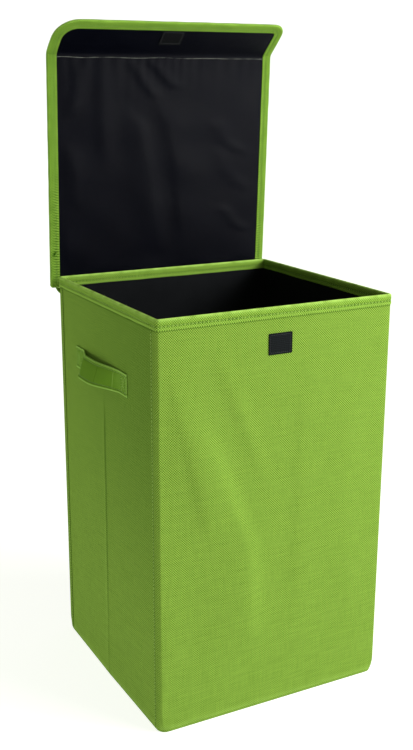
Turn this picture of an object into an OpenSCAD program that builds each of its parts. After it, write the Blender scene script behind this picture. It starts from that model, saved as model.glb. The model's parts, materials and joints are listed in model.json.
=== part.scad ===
// Collapsible laundry hamper with a hinged lid.
//
// Frame: +Z up, the front is -Y, the origin is the centre of the footprint on the floor.
// Every wall is a sandwich of cover fabric, stiff board and lining, bound at the rim.
// The sides fold inwards about vertical lines at their middles and at the four corners.
// The lid is drawn open, upright behind the back wall, with its front flap bent forward.

/* [Body] */
// Outer width of the body, left to right
body_w = 348; // [320:1:400]
// Outer depth of the body, front to back
body_d = 326; // [300:1:380]
// Height from the floor to the top of the rim
body_h = 560; // [500:1:640]

/* [Wall layers] */
// Thickness of the cover fabric
cover_t = 0.8; // [0.5:0.1:1.2]
// Thickness of the stiff board
board_t = 2.0; // [1.5:0.1:3]
// Margin of free fabric beyond a board, where the walls turn a corner
board_margin = 5; // [4:0.5:8]
// Margin of free fabric beyond a side board, at its two fold lines and at the bottom
fold_margin = 1.5; // [1:0.5:3]
// Thickness of the lining
lining_t = 0.5; // [0.3:0.1:0.8]
// Thickness of the edge binding tape
binding_t = 0.8; // [0.5:0.1:0.9]
// Width of the binding on each face of an edge
binding_h = 14.5; // [10:0.5:16]

/* [Folding sides] */
// Distance from the inner face of the front or back wall to the corner fold line
corner_gap = 4.5; // [4:0.1:8]
// Distance of the middle fold line outside the outer face of a side
fold_offset = 2.0; // [1.5:0.1:4]

/* [Base] */
// Thickness of the sewn bottom fabric
bottom_t = 0.8; // [0.5:0.1:1.2]
// Thickness of the loose base board with its wrapping
base_board_t = 2.6; // [2:0.1:3]

/* [Lid] */
// Width of the lid and its flap
lid_w = 361; // [350:1:420]
// Distance from the rim down to the line that the lid swings about
lid_axis_drop = 17.4; // [17:0.1:20]
// Forward lean of the open lid
lid_lean = 2.5; // [0:0.5:4]
// Length of the front flap from the crease
flap_len = 61; // [50:1:75]
// Bend of the flap as drawn, from flat
flap_bend = 45; // [0:1:80]
// Radius of the free corners of the flap
flap_corner_r = 20; // [17:1:30]

/* [Handles] */
// Width of the handle strap
strap_w = 31; // [25:1:40]
// Thickness of the handle strap
strap_t = 2.0; // [1.5:0.1:3]
// Distance from the rim down to the middle of the strap
strap_drop = 103.5; // [80:0.5:140]
// Front end of the strap, measured forward of the middle fold
strap_front = 77; // [60:1:100]
// Rear end of the strap, measured behind the middle fold
strap_rear = 95; // [60:1:100]
// Length of the flat stitched tab at each end
strap_tab = 22; // [18:1:26]
// How far the arch of the strap stands off the wall
strap_bulge = 22; // [15:1:28]

/* [Closure] */
// Width of each touch-fastener patch
patch_w = 35; // [25:1:50]
// Height of the patch on the front wall
patch_h = 28; // [20:1:35]
// Thickness of each patch
patch_t = 1.2; // [0.8:0.1:1.5]
// Distance from the rim down to the middle of the front patch
patch_drop = 48; // [44:1:55]

/* [Hidden] */
$fn = 96;

wall_t = cover_t + board_t + lining_t;
inner_x = body_w / 2 - wall_t;
inner_y = body_d / 2 - wall_t;

// Running clearance between pieces that move past each other
clear = 0.3;
// Half of the gap between the two halves of a side at the middle fold
fold_clear = 0.2;

// The base board lies just above the bottom fabric, and the walls start above the board,
// so that they fold in over it
base_rest_gap = 0.2;
wall_over_base = 0.6;
board_z = bottom_t + base_rest_gap;
wall_z = board_z + base_board_t + wall_over_base;

// Corner fold lines, on the inner faces of the sides
corner_axis_y = inner_y - corner_gap;
side_half_l = corner_axis_y - fold_clear;
corner_tape_w = corner_gap - clear - binding_t;
corner_tape_t = wall_t - 0.2;

// Base board: its rear top edge is the line it tips up about
base_edge_gap = 0.7;
base_side_gap = 1.3;

// Lid: its own frame has Z along the lid from the swing line, and Y from that line
// through the thickness, lining side first. Closed, it lies just above the rim.
lid_t = wall_t + 2 * binding_t;
lid_seat_gap = 0.5;
lid_axis_y = body_d / 2 - wall_t / 2;
lid_axis_z = body_h - lid_axis_drop;
lid_offset = lid_axis_drop + lid_seat_gap;
// Closed, the lid reaches past the swing line and stands this far proud of the back wall
lid_overhang = 0.75;
lid_tail = wall_t / 2 + binding_t + lid_overhang;
crease_clear = 0.5;
// The closed flap hangs this far in front of the front wall, over both patches
flap_stand_off = 2 * patch_t + clear;
lid_len = lid_axis_y + body_d / 2 + flap_stand_off;

// Spine: a fabric strip from just under the rim binding of the back wall to the lid's foot
spine_t = 1.2;
spine_inset = 2;
spine_w = body_w - 2 * spine_inset;
spine_gap = 0.6;
spine_root_y = body_d / 2 + binding_t + spine_gap;
spine_root_z = body_h - binding_h - spine_gap;
lid_foot_y = lid_axis_y + lid_offset * cos(lid_lean) + lid_tail * sin(lid_lean);
lid_foot_z = lid_axis_z + lid_offset * sin(lid_lean) - lid_tail * cos(lid_lean);
spine_run = lid_foot_y - spine_gap - spine_root_y;
spine_drop = spine_root_z - lid_foot_z - spine_t;
hinge_tape_h = 14;

// Hook patch: on the flap's lining, short of its binding
hook_start = 19.5;
hook_len = 26;

// Arch of the handle strap, an arc in plan
arch_half = (strap_front + strap_rear) / 2 - strap_tab;
arch_mid = (strap_rear - strap_front) / 2;
arch_r = (arch_half * arch_half + strap_bulge * strap_bulge) / (2 * strap_bulge);

COVER = [0.55, 0.71, 0.27];
TAPE = [0.60, 0.76, 0.33];
BOARD = [0.72, 0.60, 0.44];
LINING = [0.11, 0.11, 0.13];
PATCH = [0.14, 0.16, 0.18];

// ---- Wall panels: X along the panel, Y outwards from the lining face, Z up ----

module lining_layer(length) {
    translate([0, 0, wall_z])
        cube([length, lining_t, body_h - binding_t - wall_z]);
}

module cover_layer(length) {
    translate([0, lining_t + board_t, wall_z])
        cube([length, cover_t, body_h - binding_t - wall_z]);
}

module board_layer(length, margin) {
    translate([margin, lining_t, wall_z + fold_margin])
        cube([length - 2 * margin, board_t, body_h - binding_t - wall_z - 2 * fold_margin]);
}

module rim_binding(length) {
    difference() {
        translate([0, -binding_t, body_h - binding_h])
            cube([length, wall_t + 2 * binding_t, binding_h]);
        translate([-1, 0, body_h - binding_h - 1])
            cube([length + 2, wall_t, binding_h - binding_t + 1]);
    }
}

module on_back() {
    translate([-body_w / 2, inner_y, 0]) children();
}

module on_front() {
    mirror([0, 1, 0]) on_back() children();
}

module on_left_rear() {
    translate([-inner_x, fold_clear, 0]) rotate([0, 0, 90]) children();
}

module on_left_front() {
    mirror([0, 1, 0]) on_left_rear() children();
}

module on_right_rear() {
    mirror([1, 0, 0]) on_left_rear() children();
}

module on_right_front() {
    mirror([1, 0, 0]) on_left_front() children();
}

// ---- Corner tapes: sewn strips between the end of a side and the next wall ----

module corner_tape(gap) {
    translate([-body_w / 2, corner_axis_y + clear, wall_z])
        cube([corner_tape_t, corner_tape_w - gap, body_h - wall_z]);
}

// ---- Base ----

module bottom_sheet() {
    translate([-body_w / 2, -body_d / 2, 0])
        cube([body_w, body_d, bottom_t]);
}

module hem_strips() {
    hem_z = wall_z - clear - bottom_t;
    for (side = [0, 1])
        mirror([0, side, 0])
            translate([-body_w / 2, inner_y, bottom_t])
                cube([body_w, wall_t, hem_z]);
    for (side = [0, 1])
        mirror([side, 0, 0])
            translate([-body_w / 2, -inner_y + clear, bottom_t])
                cube([wall_t, 2 * (inner_y - clear), hem_z]);
}

module base_panel() {
    width = 2 * (inner_x - base_side_gap);
    depth = 2 * (inner_y - base_edge_gap);
    translate([-width / 2, -depth / 2, board_z])
        cube([width, depth, base_board_t]);
}

// ---- Handle strap, in plan: X along the wall towards the rear, Y outwards ----

module strap_plan() {
    for (tab_start = [-strap_front, strap_rear - strap_tab])
        translate([tab_start, 0])
            square([strap_tab, strap_t]);
    intersection() {
        translate([arch_mid, strap_bulge - arch_r])
            difference() {
                circle(r = arch_r);
                circle(r = arch_r - strap_t);
            }
        translate([arch_mid - arch_half, 0])
            square([2 * arch_half, strap_bulge + 1]);
    }
}

// One half of the strap, on the rear (+1) or front (-1) side of the middle fold
module strap_half(direction) {
    reach = 120;
    start = direction > 0 ? fold_clear : -reach - fold_clear;
    translate([-body_w / 2, 0, body_h - strap_drop - strap_w / 2])
        rotate([0, 0, 90])
            linear_extrude(strap_w)
                intersection() {
                    strap_plan();
                    translate([start, 0])
                        square([reach, strap_bulge + 1]);
                }
}

// ---- Spine and lid ----

module spine_strip() {
    translate([-spine_w / 2, spine_root_y, spine_root_z])
        rotate([-atan2(spine_drop, spine_run), 0, 0])
            translate([0, 0, -spine_t])
                cube([spine_w, norm([spine_run, spine_drop]), spine_t]);
}

module place_lid() {
    translate([0, lid_axis_y, lid_axis_z])
        rotate([lid_lean, 0, 0])
            translate([0, lid_offset, 0])
                children();
}

module lid_slab(inset, from, thick) {
    translate([-lid_w / 2 + inset, from, inset - lid_tail])
        cube([lid_w - 2 * inset, thick, lid_len - crease_clear + lid_tail - inset]);
}

module lid_layer(from, thick) {
    place_lid() lid_slab(binding_t, binding_t + from, thick);
}

module lid_edge_tape() {
    place_lid()
        difference() {
            lid_slab(0, 0, lid_t);
            translate([0, 0, 1]) lid_slab(binding_t, binding_t, wall_t);
            lid_slab(binding_t, binding_t, wall_t);
            translate([0, 0, 1]) lid_slab(binding_h, -1, lid_t + 2);
            lid_slab(binding_h, -1, lid_t + 2);
        }
}

// ---- Flap: Z from the crease to the free edge, Y through the thickness ----

module place_flap() {
    place_lid()
        translate([0, 0, lid_len])
            rotate([flap_bend, 0, 0])
                children();
}

module flap_outline(inset, start) {
    corner = flap_corner_r - inset;
    straight = flap_len - flap_corner_r;
    translate([-lid_w / 2 + inset, start])
        square([lid_w - 2 * inset, straight - start]);
    translate([-lid_w / 2 + flap_corner_r, start])
        square([lid_w - 2 * flap_corner_r, flap_len - inset - start]);
    for (side = [-1, 1])
        translate([side * (lid_w / 2 - flap_corner_r), straight])
            circle(r = corner);
}

module flap_slab(inset, start, from, thick) {
    translate([0, from + thick, 0])
        rotate([90, 0, 0])
            linear_extrude(thick)
                flap_outline(inset, start);
}

module flap_layer(from, thick) {
    place_flap() flap_slab(binding_t, crease_clear, binding_t + from, thick);
}

module flap_edge_tape() {
    place_flap()
        difference() {
            flap_slab(0, crease_clear, 0, lid_t);
            flap_slab(binding_t, crease_clear - 1, binding_t, wall_t);
            flap_slab(binding_h, crease_clear - 1, -1, lid_t + 2);
        }
}

module hook_patch() {
    place_flap()
        translate([-patch_w / 2, binding_t - patch_t, hook_start])
            cube([patch_w, patch_t, hook_len]);
}

// ---- Named pieces ----

module back_cover() { color(COVER) on_back() cover_layer(body_w); }
module back_board() { color(BOARD) on_back() board_layer(body_w, board_margin); }
module back_lining() { color(LINING) on_back() lining_layer(body_w); }
module back_rim_binding() { color(TAPE) on_back() rim_binding(body_w); }
module rear_left_corner_tape() { color(COVER) corner_tape(0); }
module rear_right_corner_tape() { color(COVER) mirror([1, 0, 0]) corner_tape(0); }

module lid_hinge_tape() {
    color(TAPE)
        translate([-spine_w / 2, body_d / 2, body_h - binding_h - hinge_tape_h])
            cube([spine_w, binding_t, hinge_tape_h]);
}

module bottom_fabric() { color(COVER) bottom_sheet(); }
module bottom_hem() { color(COVER) hem_strips(); }
module base_board() { color(LINING) base_panel(); }

module left_rear_cover() { color(COVER) on_left_rear() cover_layer(side_half_l); }
module left_rear_board() { color(BOARD) on_left_rear() board_layer(side_half_l, fold_margin); }
module left_rear_lining() { color(LINING) on_left_rear() lining_layer(side_half_l); }
module left_rear_rim_binding() { color(TAPE) on_left_rear() rim_binding(side_half_l); }

module left_front_cover() { color(COVER) on_left_front() cover_layer(side_half_l); }
module left_front_board() { color(BOARD) on_left_front() board_layer(side_half_l, fold_margin); }
module left_front_lining() { color(LINING) on_left_front() lining_layer(side_half_l); }
module left_front_rim_binding() { color(TAPE) on_left_front() rim_binding(side_half_l); }

module right_rear_cover() { color(COVER) on_right_rear() cover_layer(side_half_l); }
module right_rear_board() { color(BOARD) on_right_rear() board_layer(side_half_l, fold_margin); }
module right_rear_lining() { color(LINING) on_right_rear() lining_layer(side_half_l); }
module right_rear_rim_binding() { color(TAPE) on_right_rear() rim_binding(side_half_l); }

module right_front_cover() { color(COVER) on_right_front() cover_layer(side_half_l); }
module right_front_board() { color(BOARD) on_right_front() board_layer(side_half_l, fold_margin); }
module right_front_lining() { color(LINING) on_right_front() lining_layer(side_half_l); }
module right_front_rim_binding() { color(TAPE) on_right_front() rim_binding(side_half_l); }

module left_handle_rear() { color(COVER) strap_half(1); }
module left_handle_front() { color(COVER) strap_half(-1); }
module right_handle_rear() { color(COVER) mirror([1, 0, 0]) strap_half(1); }
module right_handle_front() { color(COVER) mirror([1, 0, 0]) strap_half(-1); }

module front_cover() { color(COVER) on_front() cover_layer(body_w); }
module front_board() { color(BOARD) on_front() board_layer(body_w, board_margin); }
module front_lining() { color(LINING) on_front() lining_layer(body_w); }
module front_rim_binding() { color(TAPE) on_front() rim_binding(body_w); }
module front_left_corner_tape() { color(COVER) mirror([0, 1, 0]) corner_tape(0); }

// This tape closes the loop of walls, so it keeps a running clearance to the front wall
module front_right_corner_tape() {
    color(COVER) mirror([1, 0, 0]) mirror([0, 1, 0]) corner_tape(clear);
}

module closure_loop_patch() {
    color(PATCH)
        translate([-patch_w / 2, -body_d / 2 - patch_t, body_h - patch_drop - patch_h / 2])
            cube([patch_w, patch_t, patch_h]);
}

module lid_spine() { color(COVER) spine_strip(); }
module lid_cover() { color(COVER) lid_layer(lining_t + board_t, cover_t); }
module lid_board() { color(BOARD) lid_layer(lining_t, board_t); }
module lid_lining() { color(LINING) lid_layer(0, lining_t); }
module lid_binding() { color(TAPE) lid_edge_tape(); }

module flap_cover() { color(COVER) flap_layer(lining_t + board_t, cover_t); }
module flap_board() { color(BOARD) flap_layer(lining_t, board_t); }
module flap_lining() { color(LINING) flap_layer(0, lining_t); }
module flap_binding() { color(TAPE) flap_edge_tape(); }
module closure_hook_patch() { color(PATCH) hook_patch(); }

back_cover();
back_board();
back_lining();
back_rim_binding();
rear_left_corner_tape();
rear_right_corner_tape();
lid_hinge_tape();
bottom_fabric();
bottom_hem();
base_board();
left_rear_cover();
left_rear_board();
left_rear_lining();
left_rear_rim_binding();
left_front_cover();
left_front_board();
left_front_lining();
left_front_rim_binding();
right_rear_cover();
right_rear_board();
right_rear_lining();
right_rear_rim_binding();
right_front_cover();
right_front_board();
right_front_lining();
right_front_rim_binding();
left_handle_rear();
left_handle_front();
right_handle_rear();
right_handle_front();
front_cover();
front_board();
front_lining();
front_rim_binding();
front_left_corner_tape();
front_right_corner_tape();
closure_loop_patch();
lid_spine();
lid_cover();
lid_board();
lid_lining();
lid_binding();
flap_cover();
flap_board();
flap_lining();
flap_binding();
closure_hook_patch();
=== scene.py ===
import json
import math

import bpy
import numpy as np
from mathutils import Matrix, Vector


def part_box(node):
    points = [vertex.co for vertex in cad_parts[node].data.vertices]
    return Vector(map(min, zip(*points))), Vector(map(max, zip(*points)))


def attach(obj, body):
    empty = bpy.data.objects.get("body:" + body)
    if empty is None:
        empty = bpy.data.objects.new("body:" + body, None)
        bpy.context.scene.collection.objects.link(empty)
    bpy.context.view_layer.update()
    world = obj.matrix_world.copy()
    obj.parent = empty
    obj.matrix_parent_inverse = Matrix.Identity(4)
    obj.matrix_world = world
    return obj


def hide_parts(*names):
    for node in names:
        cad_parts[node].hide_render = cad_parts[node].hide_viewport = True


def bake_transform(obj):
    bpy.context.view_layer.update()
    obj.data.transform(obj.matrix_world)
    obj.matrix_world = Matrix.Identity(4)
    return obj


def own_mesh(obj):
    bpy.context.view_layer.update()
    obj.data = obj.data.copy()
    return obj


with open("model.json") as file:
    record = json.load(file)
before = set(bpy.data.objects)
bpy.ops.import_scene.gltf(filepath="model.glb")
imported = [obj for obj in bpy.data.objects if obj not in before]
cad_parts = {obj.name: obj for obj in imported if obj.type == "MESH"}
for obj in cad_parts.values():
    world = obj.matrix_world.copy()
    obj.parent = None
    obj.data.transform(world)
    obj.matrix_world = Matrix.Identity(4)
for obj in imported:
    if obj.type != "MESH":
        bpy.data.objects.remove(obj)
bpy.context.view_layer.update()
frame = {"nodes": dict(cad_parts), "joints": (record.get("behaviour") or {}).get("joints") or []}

MM = 0.001
JOINTS = {joint["name"]: joint for joint in frame["joints"]}

# ---- Places and sizes, from the frame ----

BACK_COVER, BACK_LINING, BACK_RIM = (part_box(f"back_{part}") for part in ("cover", "lining", "rim_binding"))
HALF_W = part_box("front_cover")[1].x
HALF_D = BACK_COVER[1].y
RIM_Z = BACK_RIM[1].z
FOOT_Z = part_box("front_cover")[0].z
COVER_T = HALF_D - BACK_COVER[0].y
LINING_T = BACK_LINING[1].y - BACK_LINING[0].y
WALL_T = HALF_D - BACK_LINING[0].y
TAPE_T = BACK_RIM[1].y - HALF_D
TAPE_FOOT = BACK_RIM[0].z
TAPE_H = RIM_Z - TAPE_FOOT
CORNER_Y = JOINTS["left_side_fold"]["pos_m"][1]
INNER_X = HALF_W - WALL_T
INNER_Y = HALF_D - WALL_T

# The cloth of the front and back turns the corners and is sewn down on the sides, this far from the corner
BAND_Y = HALF_D - 16 * MM
BAND_RIDGE = 1.6 * MM
BAND_SEAM = 3.2 * MM
# A corner bends from just inside its fold line to just outside it
FOLD_IN = CORNER_Y - 2.7 * MM
FOLD_OUT = CORNER_Y + 3.3 * MM
# The middle of a side bends over this much on each side of its fold line
MIDDLE_BEND = 3.5 * MM
BOARD_MARGIN = 4.5 * MM
BOARD_STEP = 12 * MM

# The open lid leans forward, and its flap is bent forward from it
LID_LEAN = math.radians(2.5)
FLAP_BEND = math.radians(45)
CREASE = np.array(JOINTS["flap_crease"]["pos_m"])
LID_OUT = np.array([0, math.cos(LID_LEAN), math.sin(LID_LEAN)])
LID_UP = np.array([0, -math.sin(LID_LEAN), math.cos(LID_LEAN)])
FLAP_UP = LID_UP * math.cos(FLAP_BEND) - LID_OUT * math.sin(FLAP_BEND)


def reach(node, origin, axis):
    """How far a CAD node reaches from an origin along an axis: the least and the most."""
    points = np.array([v.co for v in frame["nodes"][node].data.vertices])
    along = (points - origin) @ axis
    return along.min(), along.max()


LID_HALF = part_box("lid_binding")[1].x
LID_FOOT = reach("lid_binding", CREASE, LID_UP)[0]
LID_T = reach("lid_binding", CREASE, LID_OUT)[1]
FLAP_END = reach("flap_binding", CREASE, FLAP_UP)[1]
FLAP_CORNER = 20 * MM
FLAP_CORNER_LEFT = 36 * MM
FOOT_CORNER = 5 * MM
CREASE_HALF = 3 * MM
CREASE_R = 2 * CREASE_HALF / FLAP_BEND

STITCH = 5.2 * MM
STITCH_L = 3.4 * MM
THREAD_R = 0.38 * MM
TAPE_STITCH = 5.4 * MM
ROUND_EDGE = 0.4 * MM


# ---- Small numeric tools ----

def smooth(t):
    t = np.clip(t, 0, 1)
    return t * t * (3 - 2 * t)


def bump(d, width):
    """1 on a line and fading to 0 at about twice the width from it."""
    return np.exp(-((d / width) ** 2))


def ripple(u, v, wavelength, seed, waves=7):
    """Smooth random waviness over a cloth, about -1 to 1."""
    rng = np.random.default_rng(seed)
    total = 0
    for _ in range(waves):
        turn, phase = rng.uniform(0, 2 * math.pi, 2)
        k = 2 * math.pi / (wavelength * rng.uniform(0.7, 1.5))
        total = total + np.sin(k * (u * math.cos(turn) + v * math.sin(turn)) + phase)
    return total / (1.6 * math.sqrt(waves))


def soft_folds(u, v, folds):
    """Soft ridges in a cloth. Each is a line of (u, v) points, its widths on each side, and its height."""
    total = 0
    for line, before, after, height in folds:
        us, vs = np.array(sorted(line, key=lambda p: p[1])).T
        d = u - np.interp(v, vs, us)
        end = 0.25 * (vs[-1] - vs[0])
        ridge = bump(d, np.where(d < 0, before, after))
        total = total + height * ridge * smooth((v - vs[0]) / end) * smooth((vs[-1] - v) / end)
    return total


def ticks(start, stop, step, edge=ROUND_EDGE):
    """Stations from start to stop, with two extra near each end for a rounded edge."""
    middle = np.linspace(start + edge, stop - edge, max(2, round((stop - start) / step) + 1))
    return np.concatenate([[start, start + 0.4 * edge], middle, [stop - 0.4 * edge, stop]])


def fine_ends(half, fine, inset, count):
    """Stations from -half to half, with fine ones at both ends and an even row between."""
    fine = np.array(fine) * MM
    return np.concatenate([fine - half, np.linspace(inset - half, half - inset, count), half - fine[::-1]])


def lengths_along(points):
    return np.concatenate([[0], np.cumsum(np.linalg.norm(np.diff(points, axis=0), axis=1))])


def chaikin(points):
    """One round of corner cutting, which keeps the ends."""
    a, b = points[:-1], points[1:]
    cut = np.stack([0.75 * a + 0.25 * b, 0.25 * a + 0.75 * b], 1).reshape(-1, points.shape[1])
    return np.concatenate([points[:1], cut, points[-1:]])


def stack(*columns):
    return np.stack(np.broadcast_arrays(*columns), -1)


# ---- The soft shape of the body ----

TAPER = 1.4 * MM
CORNER_SOFT = 12 * MM
CORNER_DROP = 22 * MM
CORNER_PULL = 4.5 * MM


def settle(x, y, z):
    """Points of the body, which narrows a little to the foot and has no board in its bottom corners."""
    p = stack(x, y, z).astype(float)
    p[..., 0] *= 1 - TAPER / HALF_W * (1 - np.clip(p[..., 2] / RIM_Z, 0, 1))
    near_x = np.clip((np.abs(p[..., 0]) - (HALF_W - TAPER - CORNER_SOFT)) / CORNER_SOFT, 0, 1)
    near_y = np.clip((np.abs(p[..., 1]) - (HALF_D - CORNER_SOFT)) / CORNER_SOFT, 0, 1)
    pull = CORNER_PULL * (near_x * near_y) ** 1.5 * np.clip(1 - p[..., 2] / CORNER_DROP, 0, 1) ** 2
    p[..., :2] -= np.sign(p[..., :2]) * pull[..., None]
    return p


class Run:
    """A wall's line in plan, counterclockwise seen from above, so that outwards is to its right."""

    ARC_STEPS = 7

    def __init__(self, corners, steps, radius=4.4 * MM):
        corners = [np.array(c, float) for c in corners]
        steps = steps if isinstance(steps, list) else [steps] * (len(corners) - 1)
        points, angles = [], []
        start = corners[0]
        for i, step in enumerate(steps):
            way = corners[i + 1] - corners[i]
            angle = math.atan2(way[1], way[0])
            turn = 0.0
            if i + 2 < len(corners):
                after = corners[i + 2] - corners[i + 1]
                turn = math.remainder(math.atan2(after[1], after[0]) - angle, 2 * math.pi)
            turns = abs(turn) > 1e-6
            cut = radius * abs(math.tan(turn / 2))
            stop = corners[i + 1] - cut * way / np.linalg.norm(way)
            count = max(1, round(np.linalg.norm(stop - start) / step))
            points += [start + (stop - start) * k / count for k in range(count + turns)]
            angles += [angle] * (count + turns)
            start = stop
            if turns:
                side = math.copysign(radius, turn)
                centre = stop + side * np.array([-math.sin(angle), math.cos(angle)])
                arc = [angle + turn * k / self.ARC_STEPS for k in range(1, self.ARC_STEPS + 1)]
                spots = [centre + side * np.array([math.sin(a), -math.cos(a)]) for a in arc]
                points += spots[:-1]
                angles += arc[:-1]
                start = spots[-1]
        self.points = np.array([*points, start])
        angles.append(angle)
        self.normals = np.stack([np.sin(angles), -np.cos(angles)], 1)
        self.lengths = lengths_along(self.points)

    def at(self, s):
        """x, y and the outward normal's x, y at a length along the line."""
        return [np.interp(s, self.lengths, column) for column in (*self.points.T, *self.normals.T)]


def upright(run):
    """The surface of a wall: u along its run, v the height."""
    def place(s, z, o):
        x, y, nx, ny = run.at(s)
        return settle(x + nx * o, y + ny * o, z)
    return place


class Fold:
    """The way across a tape folded over an edge: up one leg, half round the edge, down the other leg."""

    ROWS = np.array([0, 0.25, 0.9, 1.8, 2.6, 3.4, 4.2, 4.8, 5.4, 6.0, 6.6, 7.6, 8.8, 10.2, 11.4]) * MM

    def __init__(self, half):
        self.half, self.leg = half, TAPE_H - TAPE_T - half
        self.arc = math.pi * (half + TAPE_T / 2)
        self.length = 2 * self.leg + self.arc
        top = np.linspace(self.leg, self.length - self.leg, 9)
        self.stations = np.concatenate([self.ROWS, top, self.length - self.ROWS[::-1]])
        self.seams = (TAPE_STITCH, self.length - TAPE_STITCH)

    def at(self, t):
        """The turn round the edge, and the rise from the tape's lower edge to where the turn starts."""
        turn = np.clip((t - self.leg) / self.arc, 0, 1) * math.pi
        return turn, np.clip(t, 0, self.leg) - np.clip(t - self.leg - self.arc, 0, self.leg)

    def low(self, t):
        """The distance from the nearer edge of the tape."""
        return np.minimum(t, self.length - t)


def over_rim(run, fold):
    """The surface of a tape folded over the rim: v runs up the outside, over the top and down the inside."""
    def place(s, t, o):
        x, y, nx, ny = run.at(s)
        turn, rise = fold.at(t)
        out = -fold.half + (fold.half + o) * np.cos(turn)
        z = TAPE_FOOT + rise + (fold.half + o) * np.sin(turn)
        limit_x, limit_y = HALF_W + out, HALF_D + out
        return settle(np.clip(x + nx * out, -limit_x, limit_x), np.clip(y + ny * out, -limit_y, limit_y), z)
    return place


def lid_point(x, s, v):
    """A point of the lid and flap: x across, s up from the crease, v out from the lining face."""
    turn = np.clip((s + CREASE_HALF) / (2 * CREASE_HALF), 0, 1) * FLAP_BEND
    below = np.minimum(s + CREASE_HALF, 0) - CREASE_R * math.tan(FLAP_BEND / 2)
    beyond = np.maximum(s - CREASE_HALF, 0)
    out = -CREASE_R + (CREASE_R + v) * np.cos(turn) - beyond * np.sin(turn)
    up = below + (CREASE_R + v) * np.sin(turn) + beyond * np.cos(turn)
    x, out, up = np.broadcast_arrays(x, out, up)
    points = CREASE + out[..., None] * LID_OUT + up[..., None] * LID_UP
    points[..., 0] = x
    return points


# ---- Meshes ----

def link(name, data):
    """A new object in the scene."""
    thing = bpy.data.objects.new(name, data)
    bpy.context.scene.collection.objects.link(thing)
    return thing


def mesh_piece(name, verts, faces, uvs, material):
    mesh = bpy.data.meshes.new(name)
    mesh.from_pydata(verts.tolist(), [], [list(map(int, f)) for f in faces])
    mesh.uv_layers.new(name="cloth").data.foreach_set("uv", np.asarray(uvs, np.float32).ravel())
    mesh.polygons.foreach_set("use_smooth", [True] * len(mesh.polygons))
    mesh.set_sharp_from_angle(angle=math.radians(50))
    mesh.materials.append(material)
    return link(name, mesh)


def closed_mesh(name, outer, inner, uv, material, wrap=False, tone=None, back=None):
    """A closed thin shell between two grids of points. With wrap, its first and last rows are joined.
    tone is how much paler (to 1) or darker (to -1) than its cloth each point is. back is the material of
    the inner face, where it differs."""
    nu, nv = outer.shape[:2]
    wide = nu + wrap
    size = wide * nv
    cell = np.arange(size).reshape(wide, nv)
    quads = np.stack([cell[:-1, :-1], cell[1:, :-1], cell[1:, 1:], cell[:-1, 1:]], -1).reshape(-1, 4)
    if wrap:
        edges = [cell[:, 0], cell[::-1, -1]]
        uv = np.concatenate([uv, 2 * uv[-1:] - uv[-2:-1]])
    else:
        edges = [np.concatenate([cell[:, 0], cell[-1, 1:], cell[-2::-1, -1], cell[0, -2::-1]])]
    rims = [np.stack([e[:-1], e[:-1] + size, e[1:] + size, e[1:]], -1) for e in edges]
    faces = np.concatenate([quads, quads[:, ::-1] + size, *rims])
    uvs = np.concatenate([uv.reshape(-1, 2)] * 2)[faces]
    layer, row, column = faces // size, faces % size // nv, faces % nv
    faces = layer * nu * nv + (row % nu) * nv + column
    verts = np.concatenate([outer.reshape(-1, 3), inner.reshape(-1, 3)])
    a, b, c, d = (verts[faces[:, k]] for k in range(4))
    if (a * np.cross(b, c)).sum() + (a * np.cross(c, d)).sum() < 0:
        faces, uvs = faces[:, ::-1], uvs[:, ::-1]
    piece = mesh_piece(name, verts, faces, uvs.reshape(-1, 2), material)
    if back is not None:
        piece.data.materials.append(back)
        for face in piece.data.polygons[len(quads):2 * len(quads)]:
            face.material_index = 1
    if tone is not None:
        tones = np.concatenate([tone.ravel()] * 2).astype(np.float32)
        piece.data.attributes.new("tone", "FLOAT", "POINT").data.foreach_set("value", tones)
    return piece


def shell(name, place, us, vs, low, high, material, row_u=None, tone=None, wrap=False, back=None):
    """A cloth or board between the offsets low and high from a surface, with rounded edges.
    low and high are numbers or functions of (u, v). row_u narrows the rows of the grid, for a rounded end."""
    u, v = np.meshgrid(us, vs, indexing="ij")
    inside = np.minimum(v - vs[0], vs[-1] - v)
    if not wrap:
        inside = np.minimum(inside, np.minimum(u - us[0], us[-1] - u))
    if row_u is not None:
        u = row_u(u, v)
    low, high = (f(u, v) if callable(f) else np.full(u.shape, f) for f in (low, high))
    drop = 0.42 * (high - low) * (1 - np.sqrt(1 - (1 - np.clip(inside / ROUND_EDGE, 0, 1)) ** 2))
    outer, inner = place(u, v, high - drop), place(u, v, low + drop)
    tone = None if tone is None else tone(u, v) + 0 * u
    piece = closed_mesh(name, outer, inner, np.stack([u, v], -1), material, wrap, tone, back)
    # The size that the cloth was cut to: the mean lengths of its grid's two families of lines
    piece["flat"] = [float(np.linalg.norm(np.diff(outer, axis=k), axis=2).sum(k).mean()) for k in (0, 1)]
    return piece


def shifted(relief, by):
    """A relief moved outwards by a distance."""
    return lambda u, v: relief(u, v) + by


def tube_faces(first, rings, sides):
    """The faces of a closed tube of rings of points, numbered from first."""
    walls = []
    for i in range(rings - 1):
        for j in range(sides):
            a, b = first + i * sides + j, first + i * sides + (j + 1) % sides
            walls.append([a, b, b + sides, a + sides])
    last = first + (rings - 1) * sides
    return walls + [[first + j for j in reversed(range(sides))], [last + j for j in range(sides)]]


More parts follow.
